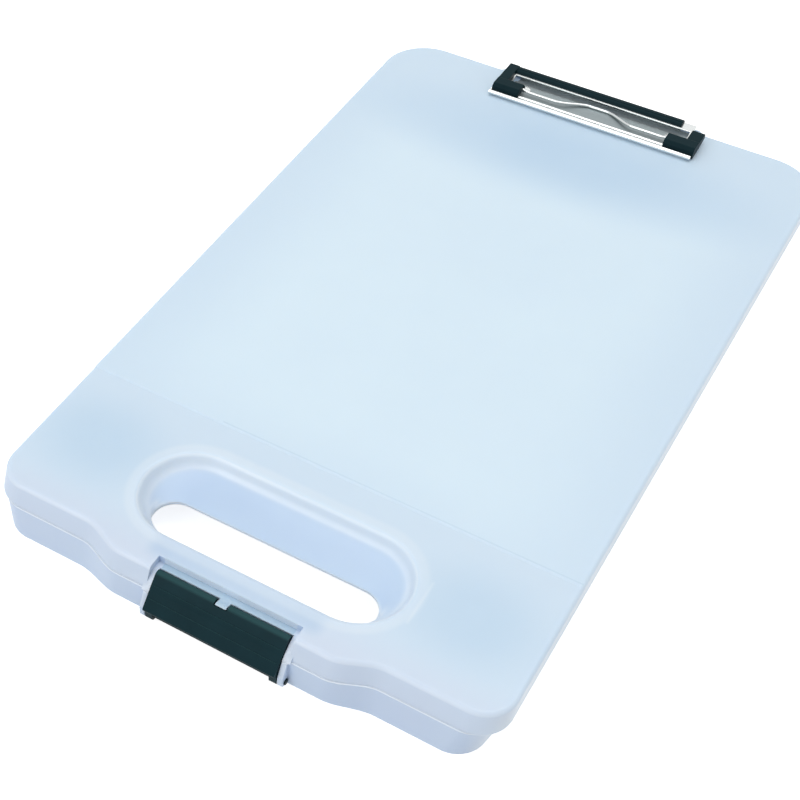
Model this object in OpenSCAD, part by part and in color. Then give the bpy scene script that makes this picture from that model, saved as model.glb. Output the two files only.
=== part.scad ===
// Storage clipboard box: a shallow tray with a hinged lid, a carrying slot,
// a snap latch at the handle end and a low wire-sprung clip at the hinge end.
// Millimetres, +Z up. The origin is at the middle of the footprint, on the table.
// X runs across the box and Y runs from the latch to the clip.

/* [Box] */
// Width of the lid
lid_w = 240; // [224:1:260]
// Length of the lid, from its straight front edge to its back edge
lid_l = 390; // [370:1:420]
// Height of the closed box, from the table to the writing face
box_h = 25; // [24:0.5:30]
// Depth of the lid's skirt below the writing face
skirt_h = 10.5; // [9.5:0.5:12]
// Wall thickness of the lid and the tray
wall = 2; // [1.6:0.1:2.4]
// Radius of the two corners at the handle end
front_r = 15; // [10:1:20]
// Radius of the two corners at the clip end
back_r = 25; // [20:1:27]
// Rounding of the lid's upper edge
edge_r = 1.8; // [1:0.1:2.4]
// Lean of the lid's front skirt, outwards at its lower rim
front_lean = 3.6; // [2:0.2:4.4]
// How far the handle zone lies below the writing face
zone_step = 0.5; // [0.3:0.1:0.8]
// Distance of that step from the front edge
zone_y = 77; // [70:1:90]

/* [Front bulge] */
// How far the front wall bulges out around the latch
bulge_out = 7; // [5:0.5:8]
// Half width of the flat part of the bulge
bulge_in_x = 49; // [44:1:54]
// Half width of the bulge where it meets the straight wall
bulge_out_x = 71; // [66:1:80]

/* [Tray] */
// Inset of the tray's sides below the skirt
tray_inset = 3; // [2.8:0.2:4]
// Inset of the tray's sides at the table
foot_inset = 11; // [8:0.5:13]
// How far the tray's inner rim stands up inside the skirt
rim_up = 4.5; // [3:0.5:5]

/* [Handle] */
// Half length of the dished recess around the slot
dish_hx = 64; // [60:1:70]
// Back end of the recess, from the front edge
dish_back = 60.5; // [56:0.5:66]
// Front end of the recess, from the front edge
dish_front = 9.5; // [7:0.5:10]
// Depth of the recess at the slot
dish_depth = 9.5; // [8:0.5:10.5]
// Half length of the hand slot
slot_hx = 52.5; // [46:0.5:55]
// Back edge of the hand slot, from the front edge
slot_back = 36; // [33:0.5:42]
// Front edge of the hand slot, from the front edge
slot_front = 15; // [13:0.5:16]

/* [Latch] */
// Half width of the latch
latch_hx = 31.3; // [27:0.1:34]
// Gap between the latch and the sides of its pocket in the lid
latch_side_gap = 2.7; // [1.5:0.1:3]
// Thickness of the latch plate
latch_t = 2.2; // [1.8:0.1:2.6]
// Radius of the rolled upper edge of the latch
roll_r = 2.4; // [2:0.1:2.6]
// Radius of the latch's knuckles around its pin
knuckle_latch_r = 2.6; // [2.4:0.1:2.8]
// Width of each of those knuckles
knuckle_latch_w = 3.4; // [3:0.2:8]
// Drop of the rolled edge below the writing face
roll_drop = 2.6; // [2.2:0.1:3.2]
// Reach of the latch's lower lip in front of the straight front edge
lip_out = 16.3; // [15:0.1:17]
// Height of the latch's lower lip above the table
lip_h = 9.4; // [9:0.1:10.5]
// Radius of the latch pin
latch_pin_r = 1.4; // [1.2:0.1:1.6]
// Half width of the notch in the latch
notch_hx = 3.2; // [2.4:0.1:5]
// Fall of the notch's floor towards the lid, for each mm
notch_slope = 0.75; // [0.7:0.05:0.9]
// Reach of the lid's catch nose under the rolled edge
nose_reach = 2.2; // [1.4:0.1:2.6]

/* [Lid hinge] */
// Radius of the hinge knuckles
knuckle_r = 3.2; // [2.8:0.1:3.6]
// Radius of the hinge pins
hinge_pin_r = 1.5; // [1.2:0.1:1.8]
// Inner end of each hinge, from the middle
hinge_x = 66; // [66:1:70]
// Length of each hinge
hinge_len = 26; // [20:1:26]
// Distance of the hinge axis behind the lid's back face
hinge_out = 4; // [3.9:0.1:5]

/* [Clip] */
// Half width of the clip
clip_hx = 57; // [50:0.5:58]
// Distance of the jaw's front edge from the lid's back edge
jaw_reach = 27.5; // [26:0.5:30]
// Thickness of the clip's sheet steel
sheet_t = 0.8; // [0.6:0.1:1]
// Height of the pivot axis above the writing face
pivot_h = 4.3; // [4.2:0.1:4.8]
// Distance of the pivot axis behind the jaw's front edge
pivot_back = 10; // [9.5:0.5:11]
// Radius of the spring wire
wire_r = 0.9; // [0.7:0.1:1]
// Half length of the wire's middle bend
bend_hx = 22; // [18:1:30]
// How far the middle bend reaches towards the rear
bend_back = 7; // [5:0.5:7]
// Half distance between the rivets
rivet_x = 41; // [36:0.5:41]
// Radius of the rivet heads
rivet_head_r = 2.8; // [2.4:0.1:3]
// Radius of the rivet shanks
rivet_r = 1.6; // [1.2:0.1:1.8]
// Height of the black grip on the lever
grip_h = 5.6; // [5:0.2:6.4]
// Right end of the grip, from the middle
grip_right = 44; // [40:1:48]

/* [Clearances] */
// Radial clearance of a pin that turns in its bore
run_gap = 0.1; // [0.05:0.01:0.1]
// Radial clearance of a pin that is fixed in its bore
fix_gap = 0.03; // [0.01:0.01:0.05]
// Gap between the tray's top edge and the lid's skirt
parting_gap = 0.4; // [0.3:0.1:0.6]
// Gap between separate pieces that lie next to each other
part_gap = 0.3; // [0.2:0.05:0.4]

/* [Hidden] */

eps = 0.01;
corner_steps = 8;
curve_steps = 10;

// Heights above the table
parting_z = box_h - skirt_h;
lid_under = box_h - wall;
zone_z = box_h - zone_step;

// Latch layout, along Y from the straight front edge
ledge_front = -3.1;
ledge_z = box_h - roll_drop - 1.4;
roll_y = ledge_front - part_gap - roll_r;
roll_z = box_h - roll_drop - roll_r;
latch_pin_y = 3 - lip_out;
latch_pin_z = knuckle_latch_r + 1.2;
lip_r = 1.3;
cheek_t = 4.2;
cheek_front = -lip_out + 3.7;
notch_y = roll_y - 0.8 * roll_r;
notch_z = roll_z + 0.6 * roll_r;
tongue_gap = 1.25 * part_gap;
tongue_front = notch_y + 0.3;
cheek_in = latch_hx + part_gap;

// The footprint runs from the latch barrel to the hinge knuckles
back_bump = 3;
y_front = (lip_out + lip_r - hinge_out - knuckle_r - lid_l) / 2;
y_back = y_front + lid_l;

// Clip layout
jaw_y = y_back - jaw_reach;
pivot_y = jaw_y + pivot_back;
pivot_z = box_h + pivot_h;
relief_hx = clip_hx + 0.6;
relief_y = y_back - 8;
relief_z = box_h - 3.4;
base_t = 1;
base_hx = clip_hx - 8.6;
base_front = jaw_y + 4.2;
rivet_y = jaw_y + 14.4;
frame_z = pivot_z - 1.9;
rear_z = frame_z + 1;
window_hx = base_hx + 1.2;
ear_t = 1.2;
rear_bar_y = jaw_y + 20.5;
rear_back = rear_bar_y + 6.4;
base_back = rear_bar_y - 2.6;
grip_y = jaw_y + 23.2;
grip_back = jaw_y + 27.8;
cap_top = pivot_z + 2.8;
roof_t = 0.9;
ear_r = 1.6;
cap_in_x = clip_hx - 16;
cap_out_x = clip_hx - 0.8;
cap_front = jaw_y + 3.4;
arm_in_x = clip_hx - 6.2;

// Smooth step from 1 to 0 as x grows from a to b
function fade(x, a, b) = let(t = min(1, max(0, (x - a) / (b - a)))) 1 - t * t * (3 - 2 * t);

// Points of a smooth step in a straight edge, from x0 to x1; it stands out at the inner end
function bump(x0, x1, y, out) = let(a = min(abs(x0), abs(x1)), b = max(abs(x0), abs(x1)))
    [for (i = [0:curve_steps]) let(x = x0 + (x1 - x0) * i / curve_steps)
        [x, y + out * fade(abs(x), a, b)]];

// Points of a quarter circle about [cx, cy], starting at angle a
function quarter(cx, cy, r, a) =
    [for (i = [0:corner_steps]) let(t = a + 90 * i / corner_steps) [cx + r * cos(t), cy + r * sin(t)]];

// Plan outline: half width hx, front line yf, back line yb, corner radii, front and back bumps
function outline(hx, yf, yb, rf, rb, front_out, back_out) = concat(
    bump(-bulge_out_x, -bulge_in_x, yf, -front_out),
    bump(bulge_in_x, bulge_out_x, yf, -front_out),
    quarter(hx - rf, yf + rf, rf, -90),
    quarter(hx - rb, yb - rb, rb, 0),
    bump(relief_hx + 4, relief_hx, yb, back_out),
    bump(-relief_hx, -relief_hx - 4, yb, back_out),
    quarter(-hx + rb, yb - rb, rb, 90),
    quarter(-hx + rf, yf + rf, rf, 180));

// Rounded slot outline: half length hx, front yf and back yb
function slot_outline(hx, yf, yb) = let(r = min(hx, (yb - yf) / 2), c = (yf + yb) / 2)
    [for (end = [1, -1]) for (i = [0:2 * corner_steps]) let(t = -90 + 90 * i / corner_steps)
        [end * (hx - r + r * cos(t)), c + end * r * sin(t)]];

// Solid through a list of rings, each [height, outline], from low to high
module loft(rings) {
    n = len(rings[0][1]);
    k = len(rings);
    pts = [for (ring = rings) for (p = ring[1]) [p[0], p[1], ring[0]]];
    sides = [for (j = [0:k - 2]) for (i = [0:n - 1])
        let(a = j * n + i, b = j * n + (i + 1) % n) each [[a, a + n, b], [b, a + n, b + n]]];
    floor_face = [[for (i = [0:n - 1]) i]];
    top_face = [[for (i = [0:n - 1]) k * n - 1 - i]];
    polyhedron(points = pts, faces = concat(floor_face, sides, top_face), convexity = 6);
}

// Box given by two corners
module block(a, b) {
    translate(a) cube(b - a);
}

// Round bar along X from x0 to x1
module bar_x(x0, x1, y, z, r) {
    translate([x0, y, z]) rotate([0, 90, 0]) cylinder(r = r, h = x1 - x0, $fn = 48);
}

// Section in the YZ plane, drawn as [y, z], extruded along X
module along_x(x0, x1) {
    translate([x0, 0, 0]) rotate([90, 0, 90]) linear_extrude(height = x1 - x0) children();
}

// Copies the children to both sides of the middle
module both_sides() {
    children();
    mirror([1, 0, 0]) children();
}

// Lid outline at height z, taken in by d on every side
function lid_ring(z, d) = let(lean = front_lean * (box_h - z) / skirt_h)
    outline(lid_w / 2 - d, y_front - lean + d, y_back - d, front_r - min(d, 3),
        back_r - min(d, 3), bulge_out, back_bump);

// Tray outline at height z, taken in by d on every side
function tray_ring(z, d) = let(s = foot_inset + (tray_inset - foot_inset) * min(1, z / parting_z))
    outline(lid_w / 2 - s - d, y_front - front_lean - 0.8 + part_gap + d, y_back - 3.4 - d,
        front_r - 1.5 - min(d, 2), back_r - 3 - min(d, 2), bulge_out, 0);

// Dish outline: share t of the way from the rim to the slot, grown by g
function dish_ring(t, g) = slot_outline(
    dish_hx + (slot_hx - dish_hx) * t + g,
    y_front + dish_front + (slot_front - dish_front) * t - g,
    y_front + dish_back + (slot_back - dish_back) * t + g);

// Dish profile: a rounded rim, a steep wall and a floor that falls gently to the slot
dish_profile = [[0.00, 0], [0.05, 0.10], [0.09, 0.30], [0.16, 0.56], [0.30, 0.76],
                [0.55, 0.90], [0.80, 0.97], [1.00, 1.00]];

module dish_cut() {
    n = len(dish_profile);
    rings = [for (i = [n - 1:-1:0])
        [zone_z - dish_depth * dish_profile[i][1], dish_ring(dish_profile[i][0], 0)]];
    loft(concat([[zone_z - dish_depth - wall - 1, dish_ring(1, 0)]], rings,
        [[box_h + 1, dish_ring(-0.02, 0)]]));
}

module dish_body() {
    low = zone_z - dish_depth - wall;
    loft([[low, dish_ring(0.6, wall)], [low + wall, dish_ring(0.25, wall)],
        [low + 2.6 * wall, dish_ring(0.05, wall)], [zone_z - 0.2, dish_ring(0, wall)]]);
}

module hinge_pin(x0) {
    bar_x(x0, x0 + hinge_len, y_back + hinge_out, parting_z - 0.5, hinge_pin_r);
}

module lid_shell() {
    difference() {
        loft([[parting_z, lid_ring(parting_z, 0)],
            [box_h - edge_r, lid_ring(box_h - edge_r, 0)],
            [box_h - edge_r * 0.6, lid_ring(box_h - edge_r * 0.6, edge_r * 0.09)],
            [box_h - edge_r * 0.25, lid_ring(box_h - edge_r * 0.25, edge_r * 0.35)],
            [box_h, lid_ring(box_h, edge_r)]]);
        loft([[parting_z - 1, lid_ring(parting_z, wall)], [lid_under, lid_ring(lid_under, wall)]]);
        // The handle zone lies a little lower than the writing face
        block([-lid_w, y_front - 40, zone_z], [lid_w, y_front + zone_y, box_h + 5]);
    }
}

// Pocket of the latch: a low ledge behind the rolled edge, the catch nose and the side cheeks
module latch_pocket() {
    px = latch_hx + latch_side_gap;
    nose_top = roll_z - roll_r - 0.4;
    block([-px - wall, y_front, parting_z], [px + wall, y_front + wall, lid_under + eps]);
    block([-px - wall, y_front + ledge_front, ledge_z - wall], [px + wall, y_front + eps, ledge_z]);
    block([-px - wall, y_front + ledge_front, parting_z], [px + wall, y_front + ledge_front + 1.6, ledge_z]);
    block([-latch_hx + 3, y_front + ledge_front - nose_reach, nose_top - 2],
        [latch_hx - 3, y_front + ledge_front + eps, nose_top]);
    // Tongue that lies in the notch of the latch, with its underside along the notch's floor
    translate([0, y_front, 0]) along_x(-notch_hx + 0.7, notch_hx - 0.7) polygon([
        [ledge_front + eps, notch_floor(ledge_front) + tongue_gap],
        [tongue_front, notch_floor(tongue_front) + tongue_gap],
        [tongue_front, notch_floor(tongue_front) + tongue_gap + 0.5],
        [tongue_front + 1.4, ledge_z + 1.1], [ledge_front + eps, ledge_z]]);
    both_sides() block([px, y_front - bulge_out, parting_z], [px + wall, y_front + eps, zone_z - 0.4]);
    // Sloped shoulders that fill the pocket beside the latch
    both_sides() translate([0, y_front, 0]) along_x(cheek_in, px + wall) polygon([
        [ledge_front + eps, parting_z], [cheek_front + 0.4, parting_z], [ledge_front - 1.9, ledge_z - 0.4],
        [ledge_front + eps, ledge_z]]);
}

module lid() {
    px = latch_hx + latch_side_gap;
    color([0.78, 0.87, 0.95]) difference() {
        union() {
            difference() {
                union() {
                    lid_shell();
                    dish_body();
                }
                dish_cut();
                block([-px, y_front - 30, parting_z - 1], [px, y_front, box_h + 1]);
            }
            latch_pocket();
            // Floor and walls of the relief under the lever
            difference() {
                block([-relief_hx - wall, relief_y - wall, relief_z - wall],
                    [relief_hx + wall, y_back - eps, lid_under + eps]);
                block([-relief_hx, relief_y, relief_z], [relief_hx, y_back + 5, box_h + 5]);
            }
            // Lid knuckles, one in the middle of each hinge
            both_sides() difference() {
                union() {
                    bar_x(hinge_x + 6.4, hinge_x + hinge_len - 6.4, y_back + hinge_out,
                        parting_z - 0.5, knuckle_r);
                    block([hinge_x + 6.4, y_back - 0.5, parting_z + 0.1],
                        [hinge_x + hinge_len - 6.4, y_back + hinge_out, parting_z + 4.5]);
                }
                bar_x(hinge_x, hinge_x + hinge_len, y_back + hinge_out, parting_z - 0.5,
                    hinge_pin_r + run_gap);
            }
        }
        block([-relief_hx, relief_y, relief_z], [relief_hx, y_back + back_bump - wall, box_h + 5]);
        both_sides() translate([rivet_x, rivet_y, lid_under - 5])
            cylinder(r = rivet_r + fix_gap, h = 10, $fn = 48);
    }
}

module base_tray() {
    ring_hx = dish_hx - 4;
    ring_front = y_front + dish_front + 1.5;
    ring_back = y_front + dish_back - 3.5;
    ring_top = zone_z - dish_depth - wall - parting_gap;
    wall_y = y_front + ledge_front + 0.6;
    color([0.70, 0.79, 0.88]) difference() {
        union() {
            // The sides and the back go on upwards as a rim inside the skirt
            difference() {
                loft([[0, tray_ring(0, 1)], [1, tray_ring(1, 0)], [parting_z, tray_ring(parting_z, 0)],
                    [parting_z + rim_up, tray_ring(parting_z, 0)]]);
                loft([[wall, tray_ring(wall, wall)], [parting_z, tray_ring(parting_z, wall)],
                    [parting_z + rim_up + 1, tray_ring(parting_z, wall)]]);
                block([-lid_w, y_front - 30, parting_z - parting_gap], [lid_w, y_front + front_r + 3, box_h]);
            }
            // Wall around the hand opening
            loft([[0, slot_outline(ring_hx + wall, ring_front - wall, ring_back + wall)],
                [ring_top, slot_outline(ring_hx + wall, ring_front - wall, ring_back + wall)]]);
            // Cheeks that carry the latch pin
            both_sides() translate([0, y_front, 0]) along_x(cheek_in, cheek_in + cheek_t) union() {
                translate([latch_pin_y, latch_pin_z]) circle(r = knuckle_latch_r, $fn = 48);
                polygon([[ledge_front + 2, 0.6], [latch_pin_y, latch_pin_z - knuckle_latch_r],
                    [latch_pin_y - knuckle_latch_r, latch_pin_z], [latch_pin_y - knuckle_latch_r + 0.2, lip_h - 2],
                    [cheek_front, parting_z - parting_gap],
                    [ledge_front + 2, parting_z - parting_gap]]);
            }
            block([-cheek_in - eps, wall_y, 0], [cheek_in + eps, wall_y + wall, parting_z - parting_gap]);
            // Outer knuckles of the two hinges
            both_sides() for (x = [hinge_x, hinge_x + hinge_len - 6]) {
                bar_x(x, x + 6, y_back + hinge_out, parting_z - 0.5, knuckle_r);
                block([x, y_back - 6, parting_z - 0.5 - knuckle_r], [x + 6, y_back + hinge_out, parting_z - 0.9]);
            }
        }
        loft([[-1, slot_outline(ring_hx, ring_front, ring_back)],
            [parting_z, slot_outline(ring_hx, ring_front, ring_back)]]);
        block([-cheek_in, y_front - 30, -1], [cheek_in, wall_y, box_h]);
        bar_x(-cheek_in - cheek_t - 1, cheek_in + cheek_t + 1, y_front + latch_pin_y, latch_pin_z,
            latch_pin_r + fix_gap);
        both_sides() bar_x(hinge_x - 1, hinge_x + hinge_len + 1, y_back + hinge_out, parting_z - 0.5,
            hinge_pin_r + fix_gap);
    }
}

module hinge_pin_left() {
    color([0.75, 0.76, 0.78]) hinge_pin(-hinge_x - hinge_len);
}

module hinge_pin_right() {
    color([0.75, 0.76, 0.78]) hinge_pin(hinge_x);
}

// Height of the notch's floor at y
function notch_floor(y) = notch_z - notch_slope * (y - notch_y);

// Latch section: rolled edge, leaning plate and lower lip
module latch_section() {
    translate([roll_y, roll_z]) circle(r = roll_r, $fn = 48);
    translate([-lip_out, lip_h]) circle(r = lip_r, $fn = 32);
    polygon([[roll_y - roll_r * 0.8, roll_z + roll_r * 0.6], [-lip_out - lip_r * 0.8, lip_h + lip_r * 0.6],
        [-lip_out + 0.4, lip_h - lip_r * 0.8], [-lip_out + latch_t, lip_h], [roll_y - roll_r + latch_t, roll_z - 1.4]]);
}

module latch() {
    color([0.08, 0.16, 0.18]) difference() {
        translate([0, y_front, 0]) union() {
            along_x(-latch_hx, latch_hx) latch_section();
            both_sides() along_x(latch_hx - knuckle_latch_w, latch_hx) union() {
                translate([latch_pin_y, latch_pin_z]) circle(r = knuckle_latch_r, $fn = 48);
                polygon([[-lip_out, lip_h], [latch_pin_y - knuckle_latch_r * 0.95, latch_pin_z + 0.6],
                    [latch_pin_y + knuckle_latch_r * 0.95, latch_pin_z + 0.6], [-lip_out + latch_t + 2.4, lip_h + 2]]);
            }
        }
        bar_x(-latch_hx - 1, latch_hx + 1, y_front + latch_pin_y, latch_pin_z, latch_pin_r + run_gap);
        translate([0, y_front, 0]) along_x(-notch_hx, notch_hx) polygon([
            [notch_y - 3, notch_floor(notch_y - 3)], [0, notch_floor(0)],
            [0, box_h + 1], [notch_y - 3, box_h + 1]]);
    }
}

module latch_pin() {
    color([0.10, 0.12, 0.13]) bar_x(-cheek_in - cheek_t + 1, cheek_in + cheek_t - 1,
        y_front + latch_pin_y, latch_pin_z, latch_pin_r);
}

module clip_base_plate() {
    color([0.60, 0.66, 0.67]) difference() {
        union() {
            block([-base_hx, base_front, box_h], [base_hx, base_back, box_h + base_t]);
            both_sides() {
                block([base_hx - ear_t, pivot_y - ear_r, box_h], [base_hx, pivot_y + ear_r, pivot_z]);
                bar_x(base_hx - ear_t, base_hx, pivot_y, pivot_z, ear_r);
            }
        }
        both_sides() translate([rivet_x, rivet_y, box_h - 1])
            cylinder(r = rivet_r + fix_gap, h = base_t + 2, $fn = 48);
        bar_x(-base_hx - 1, base_hx + 1, pivot_y, pivot_z, wire_r + fix_gap);
    }
}

module clip_jaw_plate() {
    bead_r = 1.1;
    color([0.80, 0.82, 0.82]) difference() {
        union() {
            // Front bar with its turned-down lip and rolled bead
            along_x(-clip_hx, clip_hx) union() {
                translate([jaw_y, box_h + part_gap]) square([sheet_t, frame_z - box_h - part_gap]);
                translate([jaw_y + bead_r, frame_z - 0.3]) circle(r = bead_r, $fn = 32);
                translate([jaw_y + 0.6, frame_z]) square([4.4, sheet_t]);
                translate([jaw_y + 4.2, frame_z + 0.3]) circle(r = 0.8, $fn = 32);
            }
            // Rear bar, a step higher, with a hem that the grip holds
            along_x(-clip_hx, clip_hx) union() {
                polygon([[rear_bar_y - 1.4, frame_z], [rear_bar_y, frame_z], [rear_bar_y + 1, rear_z],
                    [rear_back, rear_z], [rear_back, rear_z + sheet_t],
                    [rear_bar_y + 0.4, rear_z + sheet_t], [rear_bar_y - 1.4, frame_z + sheet_t]]);
                translate([rear_bar_y + 1.9, rear_z + sheet_t - 0.1]) circle(r = 0.7, $fn = 32);
            }
            both_sides() {
                block([window_hx, jaw_y + 0.6, frame_z], [clip_hx, rear_bar_y, frame_z + sheet_t]);
                block([window_hx, pivot_y - 2.6, frame_z], [window_hx + ear_t, pivot_y + 2.6, pivot_z]);
                bar_x(window_hx, window_hx + ear_t, pivot_y, pivot_z, ear_r);
            }
        }
        bar_x(-clip_hx, clip_hx, pivot_y, pivot_z, wire_r + run_gap);
    }
}

// Centre line of the wire's middle bend at x: back and down until it rests on the base plate
function bend_point(x) = let(s = fade(abs(x), bend_hx * 0.2, bend_hx))
    [x, pivot_y + bend_back * s, pivot_z - (pivot_h - base_t - wire_r) * s];

module spring_wire() {
    sides = 12;
    steps = 28;
    pts = [for (i = [0:steps]) bend_point(-bend_hx + 2 * bend_hx * i / steps)];
    rings = [for (p = pts) [for (k = [0:sides - 1]) let(a = 360 * k / sides)
        [p[0], p[1] + wire_r * cos(a), p[2] + wire_r * sin(a)]]];
    n = sides;
    faces = concat([[for (k = [0:n - 1]) n - 1 - k]],
        [for (j = [0:steps - 1]) for (k = [0:n - 1])
            let(a = j * n + k, b = j * n + (k + 1) % n) each [[a, a + n, b], [b, a + n, b + n]]],
        [[for (k = [0:n - 1]) steps * n + k]]);
    color([0.86, 0.88, 0.88]) union() {
        polyhedron(points = [for (ring = rings) each ring], faces = faces, convexity = 4);
        both_sides() bar_x(bend_hx - 0.5, clip_hx - 2.4, pivot_y, pivot_z, wire_r);
    }
}

// Corner cap on the right side: a block over the pivot and an arm along the side bar
module corner_cap(arm_back) {
    low = frame_z + sheet_t;
    difference() {
        union() {
            block([cap_in_x, cap_front, low], [cap_out_x, pivot_y + 3.8, cap_top]);
            block([arm_in_x, pivot_y + 3.7, low], [cap_out_x, arm_back, cap_top - 1.2]);
        }
        block([cap_in_x - 1, pivot_y - 3.4, low - 1], [cap_out_x - 1, pivot_y + 3.3, cap_top - roof_t]);
        along_x(cap_in_x - 1, cap_out_x + 1)
            polygon([[cap_front - 1, cap_top + 1], [cap_front + 3, cap_top + 1], [cap_front - 1, cap_top - 2.4]]);
        block([cap_in_x - 1, cap_front - 1, low - 1], [cap_out_x + 1, jaw_y + 5.2, low + 0.4]);
        block([arm_in_x - 1, rear_bar_y - 1.6, low - 1], [cap_out_x + 1, arm_back + 1, rear_z + sheet_t + 0.7]);
    }
}

module corner_cap_left() {
    color([0.06, 0.12, 0.13]) mirror([1, 0, 0]) corner_cap(grip_back);
}

module corner_cap_right() {
    color([0.06, 0.12, 0.13]) corner_cap(rear_bar_y + 4.1);
}

module lever_grip() {
    top = pivot_z + 2.8;
    low = top - grip_h;
    color([0.06, 0.12, 0.13]) along_x(-arm_in_x + 0.1, grip_right) difference() {
        union() {
            polygon([[grip_y, low + 1.2], [grip_y + 1.2, low], [grip_back - 0.6, low], [grip_back + 0.3, low + 0.8],
                [grip_back + 0.3, rear_z + 1.1], [grip_back - 0.3, rear_z + 1.8], [grip_back + 0.3, top - 1.2],
                [grip_back - 0.8, top], [grip_y + 1.6, top], [grip_y + 0.6, top - 1], [grip_y, top - 2.6]]);
            translate([grip_y + 2.2, top - 0.2]) circle(r = 0.6, $fn = 24);
        }
        translate([grip_y - 1, rear_z - 0.02]) square([rear_back + 0.05 - grip_y + 1, sheet_t + 0.04]);
    }
}

// Rivet with a domed head above and a flat head below the washer
module rivet(x) {
    top = box_h + base_t;
    translate([x, rivet_y, 0]) {
        translate([0, 0, lid_under - 1 - 0.8]) cylinder(r = rivet_head_r - 0.4, h = 0.8, $fn = 48);
        translate([0, 0, lid_under - 1.8]) cylinder(r = rivet_r, h = top - lid_under + 1.9, $fn = 48);
        translate([0, 0, top]) rotate_extrude($fn = 48) intersection() {
            translate([0, -rivet_head_r * 1.2]) circle(r = rivet_head_r * 1.56, $fn = 64);
            square([rivet_head_r, 3]);
        }
    }
}

module rivet_washer(x) {
    color([0.72, 0.74, 0.75]) translate([x, rivet_y, lid_under - 1]) difference() {
        cylinder(r = rivet_head_r + 0.2, h = 1, $fn = 48);
        translate([0, 0, -1]) cylinder(r = rivet_r + fix_gap, h = 3, $fn = 48);
    }
}

module rivet_left() {
    color([0.85, 0.86, 0.87]) rivet(-rivet_x);
}

module rivet_right() {
    color([0.85, 0.86, 0.87]) rivet(rivet_x);
}

module rivet_washer_left() {
    rivet_washer(-rivet_x);
}

module rivet_washer_right() {
    rivet_washer(rivet_x);
}

base_tray();
lid();
hinge_pin_left();
hinge_pin_right();
latch();
latch_pin();
clip_base_plate();
clip_jaw_plate();
spring_wire();
corner_cap_left();
corner_cap_right();
lever_grip();
rivet_left();
rivet_right();
rivet_washer_left();
rivet_washer_right();
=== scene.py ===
import math
import bpy
from mathutils import Matrix, Vector


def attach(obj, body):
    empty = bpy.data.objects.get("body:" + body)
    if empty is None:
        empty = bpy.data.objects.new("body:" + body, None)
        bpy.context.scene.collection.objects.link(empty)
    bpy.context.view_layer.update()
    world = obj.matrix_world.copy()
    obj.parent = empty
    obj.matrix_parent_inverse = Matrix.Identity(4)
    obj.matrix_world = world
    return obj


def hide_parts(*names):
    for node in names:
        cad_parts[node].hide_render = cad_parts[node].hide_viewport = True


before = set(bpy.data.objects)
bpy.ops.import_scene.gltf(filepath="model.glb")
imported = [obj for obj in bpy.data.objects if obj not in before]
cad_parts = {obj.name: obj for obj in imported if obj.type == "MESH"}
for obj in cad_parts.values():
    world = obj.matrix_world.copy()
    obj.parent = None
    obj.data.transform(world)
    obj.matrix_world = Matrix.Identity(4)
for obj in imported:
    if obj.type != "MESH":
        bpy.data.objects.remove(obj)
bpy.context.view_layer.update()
print("frame loaded")

# Lengths are in millimetres, and become metres when a mesh or a pattern is made.
# X is to the right, Y runs from the latch to the hinge, and Z is 0 under the tray.
# The middle of the front bulges out, and the back steps out between bumpLeft and bumpRight.
boxSizes = {"halfWidth": 120, "front": -189.8, "back": 200.2, "height": 25, "skirt": 10.5, "wall": 2,
            "frontRadius": 15, "backRadius": 25, "lean": 3.6, "bulge": 7, "bulgeFrom": 49, "bulgeTo": 71,
            "backBump": 3, "bumpRight": (56.2, 52.2), "bumpLeft": (-57.6, -61.6)}
boxSizes["seam"] = boxSizes["height"] - boxSizes["skirt"]  # where the lid meets the tray
boxSizes["under"] = boxSizes["height"] - boxSizes["wall"]  # the inner face of the lid
dishSizes = {"half": 65, "front": 8.5, "back": 60.5}  # the recess, from the front of the box
hingeSizes = {"behind": 4, "height": 14, "radius": 3.2, "lidBore": 1.6, "trayBore": 1.53,
              "lidKnuckle": (72.4, 85.6), "trayKnuckles": ((66, 72), (86, 92)), "boreEnds": (65, 93),
              "lidLeaf": (-0.5, 14.6, 19), "trayLeaf": (-6, 10.8, 13.6)}  # a leaf's front, low and high
latchPin = {"y": -13.3, "z": 3.8, "around": 2.6}  # y is from the front of the box
rivetPlace = {"x": 41, "y": 187.1, "hole": 1.63}  # hole is a radius, as all of the bores are


def metres(lengths):
    return [length / 1000 for length in lengths]


def selectNothing():
    if bpy.context.mode != "OBJECT":
        bpy.ops.object.mode_set(mode="OBJECT")
    bpy.ops.object.select_all(action="DESELECT")


def makeActive(piece):
    selectNothing()
    piece.select_set(True)
    bpy.context.view_layer.objects.active = piece


def applyModifier(piece, kind, **settings):
    makeActive(piece)
    modifier = piece.modifiers.new(kind.lower(), kind)
    for key, value in settings.items():
        setattr(modifier, key, value)
    bpy.ops.object.modifier_apply(modifier=modifier.name)


def takeNew(name):
    # the primitive just added, with its place put into its mesh
    piece = bpy.context.object
    piece.name = name
    makeActive(piece)
    bpy.ops.object.transform_apply(location=True, rotation=True, scale=True)
    return piece


def faceOutwards(piece):
    makeActive(piece)
    bpy.ops.object.mode_set(mode="EDIT")
    bpy.ops.mesh.select_all(action="SELECT")
    bpy.ops.mesh.normals_make_consistent(inside=False)
    bpy.ops.object.mode_set(mode="OBJECT")


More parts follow.
